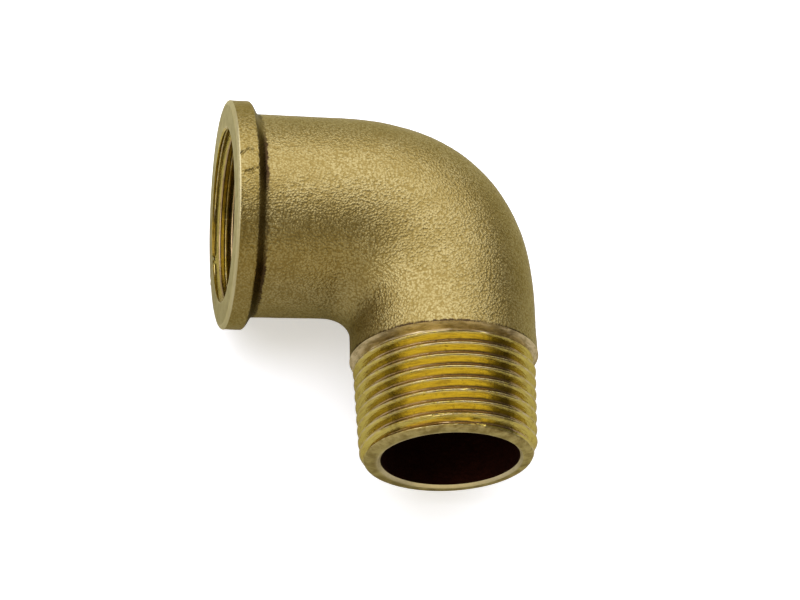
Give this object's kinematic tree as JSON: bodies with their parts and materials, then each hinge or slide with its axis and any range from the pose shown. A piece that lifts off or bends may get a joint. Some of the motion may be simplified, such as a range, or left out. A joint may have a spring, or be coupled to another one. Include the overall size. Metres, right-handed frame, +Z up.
{
  "type": "street elbow pipe fitting",
  "caption": "90 degree street elbow: a brass casting that turns a pipe run through a right angle, with a beaded female threaded port and a male taper-threaded end.",
  "frame": {"origin": "on the surface the elbow lies on, under the middle of its bounding box", "axes": "+Z up, square to the plane that holds both port axes; the female port faces -X and the male end faces -Y"},
  "size_m": [0.0457, 0.055, 0.0337],
  "materials": {
    "cast_brass": "satin"
  },
  "bodies": {
    "root": {"elbow_body": "cast_brass"}
  },
  "joints": []
}
